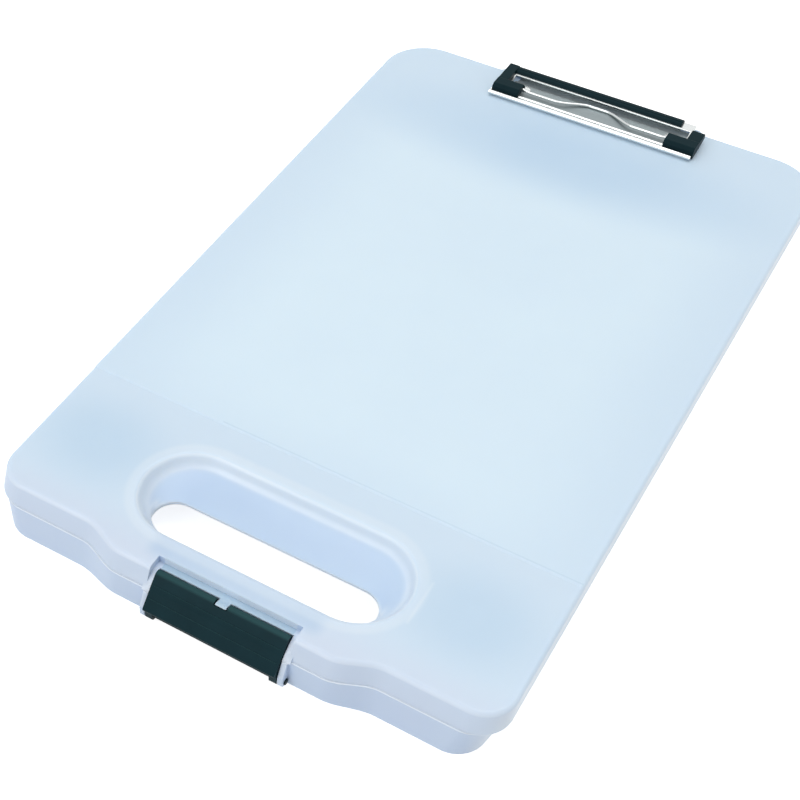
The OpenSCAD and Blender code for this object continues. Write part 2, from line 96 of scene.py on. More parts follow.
def loftRings(name, rings):
    # a disc in the shape of the first ring, extruded from ring to ring
    selectNothing()
    bpy.ops.mesh.primitive_circle_add(vertices=len(rings[0]), radius=0.05, fill_type="NGON")
    piece = bpy.context.object
    piece.name = name
    scaled = [[Vector(point) / 1000 for point in ring] for ring in rings]
    for vertex, place in zip(piece.data.vertices, scaled[0]):
        vertex.co = place
    for last, after in zip(scaled, scaled[1:]):
        bpy.ops.object.mode_set(mode="EDIT")
        bpy.ops.mesh.extrude_region_move(TRANSFORM_OT_translate={"value": (0, 0, 0)})
        bpy.ops.object.mode_set(mode="OBJECT")
        moves = {tuple(p): q for p, q in zip(last, after)}
        for vertex in piece.data.vertices:
            if vertex.select:
                vertex.co = moves[tuple(vertex.co)]
    faceOutwards(piece)
    return piece


def sectionBar(name, points, x0, x1):
    # an outline in Y and Z, drawn out along X
    return loftRings(name, [[(x, y, z) for y, z in points] for x in (x0, x1)])


def block(name, low, high):
    selectNothing()
    centre = [(a + b) / 2000 for a, b in zip(low, high)]
    size = [(b - a) / 1000 for a, b in zip(low, high)]
    bpy.ops.mesh.primitive_cube_add(size=1, location=centre, scale=size)
    return takeNew(name)


def barAlongX(name, x0, x1, y, z, radius, sides=48):
    selectNothing()
    bpy.ops.mesh.primitive_cylinder_add(vertices=sides, radius=radius / 1000, depth=(x1 - x0) / 1000,
                                        location=metres(((x0 + x1) / 2, y, z)), rotation=(0, math.pi / 2, 0))
    return takeNew(name)


def rivetHole(side, z, depth):
    selectNothing()
    bpy.ops.mesh.primitive_cylinder_add(vertices=32, radius=rivetPlace["hole"] / 1000, depth=depth / 1000,
                                        location=metres((side * rivetPlace["x"], rivetPlace["y"], z)))
    return bpy.context.object


def combine(piece, other, operation):
    applyModifier(piece, "BOOLEAN", object=other, operation=operation, solver="EXACT")
    bpy.data.objects.remove(other)


def cut(piece, other):
    combine(piece, other, "DIFFERENCE")


def weld(piece, other):
    combine(piece, other, "UNION")


def bevelEdges(piece, test, width):
    # rounds the edges whose two ends pass the test
    makeActive(piece)
    bpy.ops.object.mode_set(mode="EDIT")
    bpy.ops.mesh.select_mode(type="EDGE")
    bpy.ops.mesh.select_all(action="DESELECT")
    bpy.ops.object.mode_set(mode="OBJECT")
    vertices = piece.data.vertices
    for edge in piece.data.edges:
        first, second = (vertices[i].co * 1000 for i in edge.vertices)
        edge.select = test(first, second)
    bpy.ops.object.mode_set(mode="EDIT")
    bpy.ops.mesh.bevel(offset=width / 1000, segments=3, profile=0.5, clamp_overlap=True)
    bpy.ops.object.mode_set(mode="OBJECT")


def finishPiece(piece, angle, body, material, slot, *nodes):
    # edges flatter than the angle are shaded smooth
    makeActive(piece)
    bpy.ops.object.shade_smooth_by_angle(angle=math.radians(angle))
    applyModifier(piece, "WEIGHTED_NORMAL", keep_sharp=True, weight=80)
    piece.data.materials.clear()
    piece.data.materials.append(material)
    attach(piece, body)
    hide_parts(*nodes)


def arcPoints(y, z, radius, start, end, steps):
    turns = [math.radians(start + (end - start) * i / steps) for i in range(steps + 1)]
    return [(y + radius * math.cos(t), z + radius * math.sin(t)) for t in turns]


def quarter(steps):
    # the turns of a quarter round, in radians
    return [math.radians(k * 90 / steps) for k in range(steps + 1)]


def span(side, inner, outer):
    # from left to right, on one side of the middle
    return sorted((side * inner, side * outer))


def fade(x, a, b):
    # 1 up to a, 0 past b, smooth between them
    t = min(1, max(0, (x - a) / (b - a)))
    return 1 - t * t * (3 - 2 * t)


def bumpLine(x0, x1, y, out, steps=24):
    # a straight edge that steps out smoothly towards the middle of the box
    inner, outer = sorted((abs(x0), abs(x1)))
    xs = [x0 + (x1 - x0) * i / steps for i in range(steps + 1)]
    return [(x, y + out * fade(abs(x), inner, outer)) for x in xs]


def boxOutline(halfWidth, front, back, frontRadius, backRadius, bulge, backBump):
    s = boxSizes
    inner, outer = s["bulgeFrom"], s["bulgeTo"]
    return (bumpLine(-outer, -inner, front, -bulge) + bumpLine(inner, outer, front, -bulge)
            + arcPoints(halfWidth - frontRadius, front + frontRadius, frontRadius, -90, 0, 20)
            + arcPoints(halfWidth - backRadius, back - backRadius, backRadius, 0, 90, 20)
            + bumpLine(*s["bumpRight"], back, backBump, 8) + bumpLine(*s["bumpLeft"], back, backBump, 8)
            + arcPoints(-halfWidth + backRadius, back - backRadius, backRadius, 90, 180, 20)
            + arcPoints(-halfWidth + frontRadius, front + frontRadius, frontRadius, 180, 270, 20))


def slotOutline(halfLength, front, back, steps=48):
    # a long hole with round ends
    radius, middle = (back - front) / 2, (front + back) / 2
    straight = halfLength - radius
    ends = [(x + straight, y) for x, y in arcPoints(0, middle, radius, -90, 90, steps)]
    return ends + [(-x, 2 * middle - y) for x, y in ends]


def atHeight(points, z):
    return [(x, y, z) for x, y in points]


def fromFront(points):
    # a section drawn from the front of the box, put in its place
    return [(boxSizes["front"] + y, z) for y, z in points]


def hingeKnuckle(x0, x1, leafFront, leafLow, leafHigh):
    # the leaf joins the round knuckle to the back of the box
    y, z = boxSizes["back"] + hingeSizes["behind"], hingeSizes["height"]
    knuckle = barAlongX("knuckle", x0, x1, y, z, hingeSizes["radius"])
    weld(knuckle, block("leaf", (x0, boxSizes["back"] + leafFront, leafLow), (x1, y, leafHigh)))
    return knuckle


def hingeBore(x0, x1, radius):
    y = boxSizes["back"] + hingeSizes["behind"]
    return barAlongX("bore", x0, x1, y, hingeSizes["height"], radius, 32)


# the camera's place is in metres
cameraView = {"place": (0.20181, -0.52728, 0.54250), "right": (0.8405, 0.5417, -0.0154),
              "forward": (-0.3853, 0.5773, -0.7199), "lens": 72.13, "sensor": 36,
              "shiftX": 0.2783, "shiftY": 0.0013, "nearest": 0.01, "farthest": 20}


def addCamera(v):
    right = Vector(v["right"]).normalized()
    back = -Vector(v["forward"]).normalized()
    up = back.cross(right).normalized()
    right = up.cross(back)
    data = bpy.data.cameras.new("viewCamera")
    data.lens, data.sensor_width = v["lens"], v["sensor"]
    data.shift_x, data.shift_y = v["shiftX"], v["shiftY"]
    data.clip_start, data.clip_end = v["nearest"], v["farthest"]
    camera = bpy.data.objects.new("viewCamera", data)
    bpy.context.scene.collection.objects.link(camera)
    camera.matrix_world = Matrix.Translation(v["place"]) @ Matrix((right, up, back)).transposed().to_4x4()
    bpy.context.scene.camera = camera


addCamera(cameraView)
print("camera placed")


def toLinear(hexColor):
    parts = [int(hexColor[i:i + 2], 16) / 255 for i in (1, 3, 5)]
    return [p / 12.92 if p <= 0.04045 else ((p + 0.055) / 1.055) ** 2.4 for p in parts] + [1.0]


def addNode(material, kind, settings=None, inputs=None):
    # an input is a socket to link, a hex colour, or a value
    node = material.node_tree.nodes.new(kind)
    for key, value in (settings or {}).items():
        setattr(node, key, value)
    for key, source in (inputs or {}).items():
        if isinstance(source, bpy.types.NodeSocket):
            material.node_tree.links.new(source, node.inputs[key])
        else:
            node.inputs[key].default_value = toLinear(source) if isinstance(source, str) else source
    return node


def newMaterial(name):
    material = bpy.data.materials.new(name)
    material.use_nodes = True
    material.node_tree.nodes.clear()
    return material


# node settings that repeat
multiply = {"operation": "MULTIPLY"}
subtract = {"operation": "SUBTRACT"}
smooth = {"interpolation_type": "SMOOTHSTEP"}
falling = {"To Min": 1.0, "To Max": 0.0}


def spotMask(material, place, centre, radii, soft):
    # 1 inside an ellipse seen from above, 0 outside it; soft is a share of its radii
    offset = addNode(material, "ShaderNodeVectorMath", subtract,
                     {0: place.outputs["Object"], 1: metres((*centre, 0))})
    scaled = addNode(material, "ShaderNodeVectorMath", multiply,
                     {0: offset.outputs[0], 1: (1000 / radii[0], 1000 / radii[1], 0)})
    length = addNode(material, "ShaderNodeVectorMath", {"operation": "LENGTH"}, {0: scaled.outputs[0]})
    spot = addNode(material, "ShaderNodeMapRange", smooth,
                   {"Value": length.outputs["Value"], "From Min": 1 - soft, "From Max": 1 + soft, **falling})
    return spot.outputs[0]


def panelMask(material, place, centre, halves, soft):
    # 1 inside a rectangle seen from above, 0 outside it; soft is in millimetres
    offset = addNode(material, "ShaderNodeVectorMath", subtract,
                     {0: place.outputs["Object"], 1: metres((*centre, 0))})
    away = addNode(material, "ShaderNodeVectorMath", {"operation": "ABSOLUTE"}, {0: offset.outputs[0]})
    split = addNode(material, "ShaderNodeSeparateXYZ", None, {0: away.outputs[0]})
    masks = {}
    for axis in (0, 1):
        masks[axis] = addNode(material, "ShaderNodeMapRange", smooth,
                              {"Value": split.outputs[axis], "From Min": (halves[axis] - soft) / 1000,
                               "From Max": (halves[axis] + soft) / 1000, **falling}).outputs[0]
    return addNode(material, "ShaderNodeMath", multiply, masks).outputs[0]


def bandMask(material, value, low, high, soft):
    # 1 between low and high, 0 past them by soft
    rise = addNode(material, "ShaderNodeMapRange", smooth,
                   {"Value": value, "From Min": low - soft, "From Max": low})
    fall = addNode(material, "ShaderNodeMapRange", smooth,
                   {"Value": value, "From Min": high, "From Max": high + soft, **falling})
    return addNode(material, "ShaderNodeMath", multiply, {0: rise.outputs[0], 1: fall.outputs[0]}).outputs[0]


def rimDistance(material, split):
    # metres from the rim of the recess, below 0 inside it
    radius = (dishSizes["back"] - dishSizes["front"]) / 2
    middle = boxSizes["front"] + dishSizes["front"] + radius
    side = addNode(material, "ShaderNodeMath", {"operation": "ABSOLUTE"}, {0: split.outputs[0]})
    past = addNode(material, "ShaderNodeMath", subtract,
                   {0: side.outputs[0], 1: (dishSizes["half"] - radius) / 1000})
    past = addNode(material, "ShaderNodeMath", {"operation": "MAXIMUM"}, {0: past.outputs[0], 1: 0.0})
    along = addNode(material, "ShaderNodeMath", subtract, {0: split.outputs[1], 1: middle / 1000})
    both = addNode(material, "ShaderNodeCombineXYZ", None, {0: past.outputs[0], 1: along.outputs[0]})
    length = addNode(material, "ShaderNodeVectorMath", {"operation": "LENGTH"}, {0: both.outputs[0]})
    gap = addNode(material, "ShaderNodeMath", subtract, {0: length.outputs["Value"], 1: radius / 1000})
    return gap.outputs[0]


def tint(material, factor, first, second, strength=1.0):
    # the first colour where the factor is 0, the second at strength where it is 1
    if strength != 1.0:
        factor = addNode(material, "ShaderNodeMath", multiply, {0: factor, 1: strength}).outputs[0]
    mix = addNode(material, "ShaderNodeMix", {"data_type": "RGBA"}, {0: factor, 6: first, 7: second})
    return mix.outputs[2]


# sheet, pocket and rib are a centre, half sizes and softness; deep and sunny are where a fade starts
# and ends; lip, inside and parting are bands, each with how far it fades past its ends
plasticLook = {"margin": "#CFE2F3", "middle": "#D8EBFA", "spot": "#B9D3EA", "handle": "#CEE0F3",
               "wall": "#BCCEE8", "edge": "#D1DAED", "lit": "#E8F1FB", "recessShade": "#B6CCE6", "shade": "#A9C4D9",
               "pocketWallLight": "#E2ECF8", "roughness": (0.29, 0.41), "grain": 0.5, "cloud": 55,
               "sheet": ((0, 14), (95, 122), 30), "pocket": ((0, -199), (31.3, 9.6), 0.3),
               "rib": ((67.5, -154.5), (0.4, 12), 1.0), "deep": (16, 22.5), "sunny": (108, 117),
               "lip": (0.2, 2.2, 3), "inside": (-100, -1, 1), "parting": (14.3, 14.7, 0.2)}
# each patch's mask, centre, half sizes, softness, colour and strength
# the spot colour under the clip is painted shadow of the clip
plasticPatches = [(spotMask, (0, 144), (84, 28), 0.75, "spot", 0.85),  # under the clip
                  (panelMask, (0, -155), (140, 42.5), 1.2, "handle", 0.6),  # the lower handle zone
                  (spotMask, (-92, -150), (26, 21), 0.7, "spot", 0.65),  # left of the recess
                  (spotMask, (88, -150), (26, 21), 0.7, "spot", 0.65),  # right of the recess
                  (panelMask, (0, -210), (150, 26), 14, "edge", 0.75),  # along the front
                  (panelMask, (34, -112.1), (85, 0.3), 0.35, "shade", 0.35),  # the zone's fine line
                  # the bar in front of the recess gets the recess's painted shade
                  (panelMask, (0, -185), (40, 5.5), 3.5, "recessShade", 0.75)]  # the bar in front of the recess


def frostedPolypropylene(look, patches):
    # injection-moulded polypropylene from a frosted mould: a soft sheen and a pale blue, with painted
    # highlights on edges, rims and the parting line, and painted shade on steep walls, in the recess and
    # under the clip
    m = newMaterial("frostedPolypropylene")
    place = addNode(m, "ShaderNodeTexCoord")
    where = addNode(m, "ShaderNodeSeparateXYZ", None, {0: place.outputs["Object"]})
    facing = addNode(m, "ShaderNodeSeparateXYZ", None, {0: place.outputs["Normal"]})
    sheet = panelMask(m, place, *look["sheet"])
    colour = tint(m, sheet, look["margin"], look["middle"])
    for mask, centre, halves, soft, name, strength in patches:
        colour = tint(m, mask(m, place, centre, halves, soft), colour, look[name], strength)
    gap = rimDistance(m, where)
    lip = bandMask(m, gap, *metres(look["lip"]))
    inside = bandMask(m, gap, *metres(look["inside"]))
    low, high = metres(look["deep"])
    # painted shade: the recess gets darker with depth
    deep = addNode(m, "ShaderNodeMapRange", smooth,
                   {"Value": where.outputs[2], "From Min": low, "From Max": high, **falling})
    recessShade = addNode(m, "ShaderNodeMath", multiply, {0: deep.outputs[0], 1: inside})
    # steep, rounded and flat say how the surface stands: its normal's Z
    level = addNode(m, "ShaderNodeMath", {"operation": "ABSOLUTE"}, {0: facing.outputs[2]})
    steep = addNode(m, "ShaderNodeMapRange", None,
                    {"Value": level.outputs[0], "From Min": 0.5, "From Max": 0.15})
    rounded = bandMask(m, facing.outputs[2], 0.42, 0.8, 0.16)
    flat = addNode(m, "ShaderNodeMapRange", None,
                   {"Value": facing.outputs[2], "From Min": 0.5, "From Max": 0.9})
    wallLip = addNode(m, "ShaderNodeMath", multiply, {0: rounded, 1: inside})
    rim = addNode(m, "ShaderNodeMath", multiply, {0: steep.outputs[0], 1: inside})
    parting = bandMask(m, where.outputs[2], *metres(look["parting"]))
    pocket = panelMask(m, place, *look["pocket"])
    ledge = addNode(m, "ShaderNodeMath", multiply, {0: pocket, 1: flat.outputs[0]})
    rib = panelMask(m, place, *look["rib"])
    low, high = metres(look["sunny"])
    sunny = addNode(m, "ShaderNodeMapRange", None,
                    {"Value": where.outputs[0], "From Min": low, "From Max": high})
    sideWall = addNode(m, "ShaderNodeMath", multiply, {0: sunny.outputs[0], 1: steep.outputs[0]})
    cloud = addNode(m, "ShaderNodeTexNoise", None,
                    {"Vector": place.outputs["Object"], "Scale": 1000 / look["cloud"], "Detail": 3.0,
                     "Roughness": 0.5})
    uneven = addNode(m, "ShaderNodeMapRange", None,
                     {"Value": cloud.outputs["Fac"], "From Min": 0.35, "From Max": 0.7, "To Max": 0.25})
    # each layer's mask, colour and strength, laid on in this order
    # the wall colour on steep faces is painted shade
    layers = [(lip, "lit", 0.3), (steep.outputs[0], "wall", 0.85), (recessShade.outputs[0], "recessShade", 0.85),
              # lit is a painted highlight wherever it is laid: round the recess lip, on rounded edges, on the
              # rounded and steep faces inside the recess, along the parting line, on a rib showing through
              # and on the right side walls
              (rounded, "lit", 0.12), (wallLip.outputs[0], "lit", 0.55), (rim.outputs[0], "lit", 0.8),
              # the pocket's walls are lightened with painted light, against the shade they stand in
              (parting, "lit", 0.5), (pocket, "pocketWallLight", 0.7), (ledge.outputs[0], "shade", 1.0),
              (rib, "lit", 0.4), (sideWall.outputs[0], "lit", 0.6), (uneven.outputs[0], "margin", 1.0)]
    for mask, name, strength in layers:
        colour = tint(m, mask, colour, look[name], strength)
    # the frosting is finer than this grain, which is as coarse as it needs to show
    grain = addNode(m, "ShaderNodeTexNoise", None,
                    {"Vector": place.outputs["Object"], "Scale": 1000 / look["grain"], "Detail": 2.0})
    bump = addNode(m, "ShaderNodeBump", None,
                   {"Height": grain.outputs["Fac"], "Strength": 0.06, "Distance": 0.00005})
    rough = addNode(m, "ShaderNodeMapRange", None,
                    {"Value": cloud.outputs["Fac"], "To Min": look["roughness"][0],
                     "To Max": look["roughness"][1]})
    shader = addNode(m, "ShaderNodeBsdfPrincipled", None,
                     {"Base Color": colour, "Roughness": rough.outputs[0], "Normal": bump.outputs[0],
                      "IOR": 1.49, "Subsurface Weight": 0.35, "Subsurface Radius": (1.0, 1.1, 1.2),
                      "Subsurface Scale": 0.0025})
    addNode(m, "ShaderNodeOutputMaterial", None, {"Surface": shader.outputs[0]})
    return m


capLook = {"name": "blackMouldedPlastic", "dark": "#0A1F25", "light": "#10272D", "upward": "#122A30",
           "flow": 9, "grain": 0.4, "roughness": (0.38, 0.48)}
latchLook = {"name": "blackLatchPlastic", "dark": "#0E272D", "light": "#153138", "upward": "#2F5154",
             "flow": 9, "grain": 0.4, "roughness": (0.36, 0.46)}


def mouldedBlack(look):
    # injection-moulded black plastic: a dull, blue-black face with a fine grain and faint flow marks, and a
    # painted highlight where it faces up
    m = newMaterial(look["name"])
    place = addNode(m, "ShaderNodeTexCoord")
    flow = addNode(m, "ShaderNodeTexNoise", None,
                   {"Vector": place.outputs["Object"], "Scale": 1000 / look["flow"], "Detail": 2.0})
    colour = tint(m, flow.outputs["Fac"], look["dark"], look["light"])
    facing = addNode(m, "ShaderNodeSeparateXYZ", None, {0: place.outputs["Normal"]})
    # upward is a painted highlight on faces that point up
    upward = addNode(m, "ShaderNodeMapRange", None,
                     {"Value": facing.outputs[2], "From Min": 0.72, "From Max": 0.95})
    colour = tint(m, upward.outputs[0], colour, look["upward"], 0.7)
    grain = addNode(m, "ShaderNodeTexNoise", None,
                    {"Vector": place.outputs["Object"], "Scale": 1000 / look["grain"]})
    bump = addNode(m, "ShaderNodeBump", None,
                   {"Height": grain.outputs["Fac"], "Strength": 0.12, "Distance": 0.00005})
    rough = addNode(m, "ShaderNodeMapRange", None,
                    {"Value": flow.outputs["Fac"], "To Min": look["roughness"][0],
                     "To Max": look["roughness"][1]})
    shader = addNode(m, "ShaderNodeBsdfPrincipled", None,
                     {"Base Color": colour, "Roughness": rough.outputs[0], "Normal": bump.outputs[0],
                      "Specular IOR Level": 0.06})
    addNode(m, "ShaderNodeOutputMaterial", None, {"Surface": shader.outputs[0]})
    return m


nickelLook = {"name": "nickelPlatedSteel", "dark": "#E0E4E4", "light": "#EEF1F0",
              "streak": 0.35, "roughness": (0.15, 0.28)}
# a darker, duller copy of the plated steel for the base plate: its darkness is painted shade under the jaw
shadedSteelLook = {"name": "shadedPlatedSteel", "dark": "#8E999C", "light": "#A4ACAE",
            "streak": 0.3, "roughness": (0.41, 0.54)}
wireLook = {"name": "springSteelWire", "dark": "#CFD4D4", "light": "#DDE1E1",
            "streak": 0.2, "roughness": (0.11, 0.24)}


def platedMetal(look):
    # rolled sheet or drawn wire, plated: bright nickel mirrors the room, the base plate's copy is darker and
    # duller, its darkness painted shade under the jaw, and fine marks along X, drawn coarser than the real
    # ones, soften what they mirror
    m = newMaterial(look["name"])
    place = addNode(m, "ShaderNodeTexCoord")
    stretched = addNode(m, "ShaderNodeMapping", None,
                        {"Vector": place.outputs["Object"], "Scale": (0.03, 1, 1)})
    marks = addNode(m, "ShaderNodeTexNoise", None,
                    {"Vector": stretched.outputs[0], "Scale": 1000 / look["streak"], "Detail": 3.0})
    colour = tint(m, marks.outputs["Fac"], look["dark"], look["light"])
    rough = addNode(m, "ShaderNodeMapRange", None,
                    {"Value": marks.outputs["Fac"], "To Min": look["roughness"][0],
                     "To Max": look["roughness"][1]})
    bump = addNode(m, "ShaderNodeBump", None,
                   {"Height": marks.outputs["Fac"], "Strength": 0.08, "Distance": 0.00005})
    shader = addNode(m, "ShaderNodeBsdfPrincipled", None,
                     {"Base Color": colour, "Roughness": rough.outputs[0], "Normal": bump.outputs[0],
                      "Metallic": 1.0})
    addNode(m, "ShaderNodeOutputMaterial", None, {"Surface": shader.outputs[0]})
    return m


boxPlastic = frostedPolypropylene(plasticLook, plasticPatches)
blackPlastic = mouldedBlack(capLook)
latchPlastic = mouldedBlack(latchLook)
platedSteel = platedMetal(nickelLook)
baseSteel = platedMetal(shadedSteelLook)
wireSteel = platedMetal(wireLook)
print("materials ready")

lidSizes = {"edgeRound": 1.8, "innerRound": 1.2, "zoneDrop": 0.5, "zoneY": 77,
            "zoneLines": (-0.9, -0.6, 0, 0.3)}  # the double line's edges, from zoneY
# drop below the handle zone, then how far in the ends, the front and the back are from the rim
dishHollow = [(-2.2, -3.5, -3.5, -3.5), (-0.003, 0, 0, 0), (0.15, 0.8, 0.8, 0.8), (0.45, 1.4, 1.5, 1.4),
              (0.95, 1.95, 2.2, 1.95), (1.6, 2.4, 2.8, 2.4), (2.6, 2.85, 3.4, 2.85), (3.6, 3.3, 3.9, 3.3),
              (4.6, 3.9, 4.4, 3.9), (5.5, 4.7, 4.8, 4.8), (6.2, 5.6, 5.2, 6.0), (6.8, 6.7, 5.5, 7.6),
              (7.35, 8.0, 5.8, 10.0), (7.85, 9.3, 6.0, 13.0), (8.4, 10.3, 6.2, 17.0), (8.9, 10.9, 6.35, 21.0),
              (9.2, 11.2, 6.4, 23.3), (9.7, 11.5, 6.5, 24.5), (10.2, 11.4, 6.4, 24.3), (13.5, 11.3, 6.3, 24)]
dishOuter = [(11.5, 5.5, 2.5, 11), (11.1, 4, 1.5, 8), (9.7, 2, 0.6, 4.5), (7.5, 0.6, -0.4, 1.6),
             (4.5, -0.6, -1.4, -0.4), (0.3, -1, -1, -1)]


def lidRing(z, inset):
    # the skirt leans out at the front as it goes down
    s = boxSizes
    lean = s["lean"] * (s["height"] - z) / s["skirt"]
    r = min(inset, 3)
    return atHeight(boxOutline(s["halfWidth"] - inset, s["front"] - lean + inset, s["back"] - inset,
                               s["frontRadius"] - r, s["backRadius"] - r, s["bulge"], s["backBump"]), z)


def lidShellShape():
    b, r, inner = boxSizes, lidSizes["edgeRound"], lidSizes["innerRound"]
    top, seam, under = b["height"], b["seam"], b["under"]
    rings = [lidRing(seam, 0.35), lidRing(seam + 0.12, 0.1), lidRing(seam + 0.35, 0)]
    rings += [lidRing(top - r + r * math.sin(a), r * (1 - math.cos(a))) for a in quarter(8)]
    lid = loftRings("lidShell", rings)
    rings = [lidRing(seam - 1, b["wall"])]
    rings += [lidRing(under - inner + inner * math.sin(a), b["wall"] + inner * (1 - math.cos(a)))
              for a in quarter(5)]
    cut(lid, loftRings("inside", rings))
    return lid


def lowerHandleZone(lid):
    # the handle zone sits a hair lower than the rest of the top, with a fine double line between
    s = lidSizes
    stepY = boxSizes["front"] + s["zoneY"]
    makeActive(lid)
    bpy.ops.object.mode_set(mode="EDIT")
    for line in s["zoneLines"]:
        bpy.ops.mesh.select_all(action="SELECT")
        bpy.ops.mesh.bisect(plane_co=(0, (stepY + line) / 1000, 0), plane_no=(0, 1, 0))
    bpy.ops.object.mode_set(mode="OBJECT")
    for vertex in lid.data.vertices:
        y, z = vertex.co.y * 1000, vertex.co.z * 1000
        if z > boxSizes["height"] - s["edgeRound"] - 0.01:
            lowered = fade(y, stepY + s["zoneLines"][0], stepY + s["zoneLines"][-1])
            vertex.co.z -= s["zoneDrop"] * lowered / 1000


def dishRing(drop, end, front, back):
    s, f = dishSizes, boxSizes["front"]
    return atHeight(slotOutline(s["half"] - end, f + s["front"] + front, f + s["back"] - back),
                    boxSizes["height"] - lidSizes["zoneDrop"] - drop)


def carveRecess(lid):
    weld(lid, loftRings("dishBody", [dishRing(*row) for row in dishOuter]))
    cut(lid, loftRings("dishHollow", [dishRing(*row) for row in dishHollow[::-1]]))


pocketSizes = {"half": 34, "ledgeFront": -3.1, "ledgeZ": 21, "noseHalf": 28.3, "tongueHalf": 2.5,
               "shoulder": 31.6, "shoulderEnd": 1.2, "sideWall": 1.7}


def addLatchPocket(lid):
    # hundredths of a millimetre keep the faces that meet here out of each other's planes
    s, f = pocketSizes, boxSizes["front"]
    px, ledgeY, ledgeZ = s["half"], f + s["ledgeFront"], s["ledgeZ"]
    low, under = boxSizes["seam"], boxSizes["under"]
    cut(lid, block("pocket", (-px, f - 30, low - 1), (px, f, boxSizes["height"] + 1)))
    ledge = block("ledge", (-px - 2, ledgeY, ledgeZ - 2), (px + 2, f + 0.3, ledgeZ))
    weld(ledge, block("apron", (-px - 1.9, ledgeY + 0.02, low + 0.05),
                      (px + 1.9, ledgeY + 1.6, ledgeZ - 0.5)))
    weld(ledge, block("backWall", (-px - 1.8, f + 0.03, low + 0.08), (px + 1.8, f + 1.93, under + 0.5)))
    weld(ledge, block("nose", (-s["noseHalf"], f - 5.3, 15.2), (s["noseHalf"], f - 3, 17.2)))
    tongue = [(-3, 18.65), (-7.4, 21.58), (-7.5, 21.9), (-7.1, 22.15), (-6.3, 22.15), (-4.8, 21.7),
              (-3, ledgeZ - 0.04)]
    weld(ledge, sectionBar("tongue", fromFront(tongue), -s["tongueHalf"], s["tongueHalf"]))
    shoulder = [(-2.9, low + 0.14), (-12.2, low + 0.14), (-9.5, 17.4), (-5.6, 20.3), (-4.4, 20.83),
                (-2.9, ledgeZ - 0.06)]
    for side in (-1, 1):
        x0, x1 = span(side, px - 0.05, px + s["sideWall"])
        weld(ledge, block("pocketSide", (x0, f - boxSizes["bulge"] + 0.3, low + 0.11),
                          (x1, f + 0.5, boxSizes["height"] - 0.93)))
        x0, x1 = span(side, s["shoulder"], px + s["shoulderEnd"])
        weld(ledge, sectionBar("shoulder", fromFront(shoulder), x0, x1))
    weld(lid, ledge)


seatSizes = {"left": -57.6, "right": 51.9, "front": -8, "drop": 3.4}  # front is from the back of the box


def addSeat(lid):
    # the lever's seat is open at the back
    s, back = seatSizes, boxSizes["back"]
    y, z = back + s["front"], boxSizes["height"] - s["drop"]
    weld(lid, block("seat", (s["left"] - 2.17, y - 2.03, z - 2),
                    (s["right"] + 2.17, back + 0.53, boxSizes["under"] + 0.23)))
    cut(lid, block("seatOpening", (s["left"], y, z),
                   (s["right"], back + boxSizes["backBump"] - 2, boxSizes["height"] + 5)))


def buildLid():
    lid = lidShellShape()
    lowerHandleZone(lid)
    carveRecess(lid)
    addLatchPocket(lid)
    addSeat(lid)
    for side in (-1, 1):
        x0, x1 = span(side, *hingeSizes["lidKnuckle"])
        knuckle = hingeKnuckle(x0, x1, *hingeSizes["lidLeaf"])
        cut(knuckle, hingeBore(x0 - 1, x1 + 1, hingeSizes["lidBore"]))
        weld(lid, knuckle)
        cut(lid, rivetHole(side, 23.5, 10))
    return lid


lidShell = buildLid()
finishPiece(lidShell, 32, "lid_body", boxPlastic, "box_plastic", "lid")
print("lid made:", len(lidShell.data.polygons), "faces")

traySizes = {"foot": 7.3, "side": 3, "flare": 3.2, "rimTop": 19, "gap": 0.06, "floor": 2, "footRound": 1.6,
             "rimRound": 0.3, "frontIn": -0.5, "backIn": 3.4, "handHalf": 60, "handFront": 11, "handBack": 57,
             "handTop": 12.6, "bayHalf": 31.6, "bayY": -2.5, "cheek": 2.6,
             "cheekRound": 0.45, "pinBore": 1.43}


def trayRing(z, inset):
    # the walls lean in towards the foot
    b, s = boxSizes, traySizes
    rise = min(1, z / b["seam"])
    side = s["foot"] + (s["side"] - s["foot"]) * rise
    flare = s["flare"] * (1 - rise)
    r = min(inset, 2)
    front = b["front"] - b["lean"] + s["frontIn"] - flare
    return atHeight(boxOutline(b["halfWidth"] - side - inset, front + inset, b["back"] - s["backIn"] - inset,
                               b["frontRadius"] - 1.5 - r, b["backRadius"] - 3 - r,
                               b["bulge"] - 0.75 * flare, 0), z)


def handRing(grow, z):
    s, f = traySizes, boxSizes["front"]
    front, back = f + s["handFront"] - grow, f + s["handBack"] + grow
    return atHeight(slotOutline(s["handHalf"] + grow, front, back, 24), z)


def trayShellShape():
    b, s = boxSizes, traySizes
    foot, top, low = s["footRound"], s["rimRound"], b["seam"]
    crest = low - s["gap"]
    rings = [trayRing(foot * (1 - math.cos(a)), foot * (1 - math.sin(a))) for a in quarter(5)]
    rings += [trayRing(crest - top + top * math.sin(a), top * (1 - math.cos(a))) for a in quarter(5)]
    tray = loftRings("trayShell", rings)
    rim = loftRings("rim", [trayRing(low - 3, 0.01), trayRing(s["rimTop"] - 0.4, 0.01),
                            trayRing(s["rimTop"], 0.4)])
    cut(rim, block("frontEnd", (-130, b["front"] - 30, 0), (130, b["front"] + 18, 30)))
    weld(tray, rim)
    cut(tray, loftRings("inside", [trayRing(s["floor"], b["wall"] + 1), trayRing(s["floor"] + 1, b["wall"]),
                                   trayRing(low, b["wall"]), trayRing(s["rimTop"] + 1, b["wall"])]))
    return tray


def addHandHole(tray):
    top = traySizes["handTop"]
    weld(tray, loftRings("handWall", [handRing(2, 0.2), handRing(2, top - 0.3), handRing(1.7, top)]))
    cut(tray, loftRings("handHole", [handRing(1.2, -1), handRing(0.35, 0.15), handRing(0, 0.8),
                                     handRing(0, boxSizes["seam"] + 2)]))


